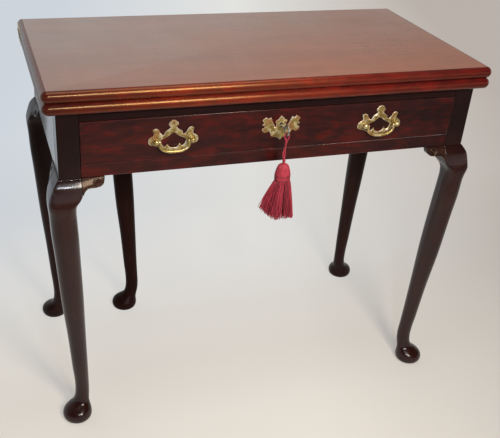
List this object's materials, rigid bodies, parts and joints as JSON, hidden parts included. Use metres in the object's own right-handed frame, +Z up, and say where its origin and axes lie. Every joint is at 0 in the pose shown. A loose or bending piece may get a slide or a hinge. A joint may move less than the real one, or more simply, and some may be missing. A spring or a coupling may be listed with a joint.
{
  "type": "tea table",
  "caption": "Fold-over mahogany tea table on cabriole legs with pad feet, with a swinging gate leg behind, a full-width drawer with pierced brass handles, and a key with a tassel.",
  "frame": {"origin": "on the floor under the middle of the closed top", "axes": "+X to the right as seen from the front, +Y to the back, +Z up"},
  "size_m": [0.8502, 0.4575, 0.725],
  "materials": {
    "mahogany_top": "polished",
    "mahogany_dark": "polished",
    "mahogany_drawer": "polished",
    "oak": "dry",
    "brass": "polished",
    "steel": "satin",
    "silk": "soft"
  },
  "bodies": {
    "frame": {"lower_leaf": "mahogany_top", "leg_front_left": "mahogany_dark", "leg_front_right": "mahogany_dark", "leg_rear_left": "mahogany_dark", "leg_rear_right": "mahogany_dark", "ear_front_left_front": "mahogany_dark", "ear_front_left_side": "mahogany_dark", "ear_front_right_front": "mahogany_dark", "ear_front_right_side": "mahogany_dark", "ear_rear_left_side": "mahogany_dark", "ear_rear_right_side": "mahogany_dark", "side_rail_left": "mahogany_dark", "side_rail_right": "mahogany_dark", "front_rail_top": "mahogany_dark", "front_rail_bottom": "mahogany_dark", "fly_rail_fixed": "mahogany_dark", "back_rail": "oak", "fly_rail_spacer": "oak", "drawer_runner_left": "oak", "drawer_runner_right": "oak", "drawer_kicker_left": "oak", "drawer_kicker_right": "oak", "hinge_plate_lower_left": "brass", "hinge_plate_lower_right": "brass", "hinge_pin_left": "brass", "hinge_pin_right": "brass", "knuckle_pin": "steel"},
    "upper_leaf_body": {"upper_leaf": "mahogany_top", "hinge_plate_upper_left": "brass", "hinge_plate_upper_right": "brass"},
    "gate": {"gate_leg": "mahogany_dark", "gate_rail": "mahogany_dark"},
    "drawer": {"drawer_front": "mahogany_drawer", "drawer_cock_bead": "mahogany_drawer", "drawer_side_left": "oak", "drawer_side_right": "oak", "drawer_back": "oak", "drawer_bottom": "oak", "lock_case": "steel", "escutcheon": "brass", "escutcheon_pin_left": "brass", "escutcheon_pin_right": "brass", "backplate_left": "brass", "backplate_right": "brass", "handle_post_left_left": "brass", "handle_post_left_right": "brass", "handle_post_right_left": "brass", "handle_post_right_right": "brass", "handle_nut_left_left": "brass", "handle_nut_left_right": "brass", "handle_nut_right_left": "brass", "handle_nut_right_right": "brass"},
    "key_body": {"key": "steel"},
    "bolt": {"lock_bolt": "steel"},
    "tassel": {"tassel_cord": "silk", "tassel_head": "silk", "tassel_skirt": "silk"},
    "bail_left_body": {"bail_left": "brass"},
    "bail_right_body": {"bail_right": "brass"}
  },
  "joints": [
    {"name": "leaf_hinge", "type": "hinge", "parent": "frame", "child": "upper_leaf_body", "pos_m": [0, 0.21115, 0.70405], "axis": [-1, 0, 0], "range_deg": [0, 180]},
    {"name": "gate_hinge", "type": "hinge", "parent": "frame", "child": "gate", "pos_m": [0.06, 0.191, 0.5607], "axis": [0, 0, -1], "range_deg": [0, 90]},
    {"name": "drawer_slide", "type": "slide", "parent": "frame", "child": "drawer", "axis": [0, -1, 0], "range_m": [0, 0.22]},
    {"name": "bail_left_hinge", "type": "hinge", "parent": "drawer", "child": "bail_left_body", "pos_m": [-0.199, -0.2012, 0.621], "axis": [-1, 0, 0], "range_deg": [0, 85]},
    {"name": "bail_right_hinge", "type": "hinge", "parent": "drawer", "child": "bail_right_body", "pos_m": [0.205, -0.2012, 0.621], "axis": [-1, 0, 0], "range_deg": [0, 85]},
    {"name": "key_turn", "type": "hinge", "parent": "drawer", "child": "key_body", "pos_m": [0.003, -0.1914, 0.634], "axis": [0, 1, 0], "range_deg": [0, 90]},
    {"name": "bolt_slide", "type": "slide", "parent": "drawer", "child": "bolt", "axis": [0, 0, 1], "range_m": [0, 0.005]},
    {"name": "tassel_hang", "type": "hinge", "parent": "key_body", "child": "tassel", "pos_m": [0.003, -0.2214, 0.6231], "axis": [0, 1, 0], "range_deg": [-90, 0]}
  ],
  "couplings": [
    {"joint": "bolt_slide", "follows": "key_turn", "m_per_rad": 0.003182},
    {"joint": "tassel_hang", "follows": "key_turn", "ratio": -1}
  ]
}
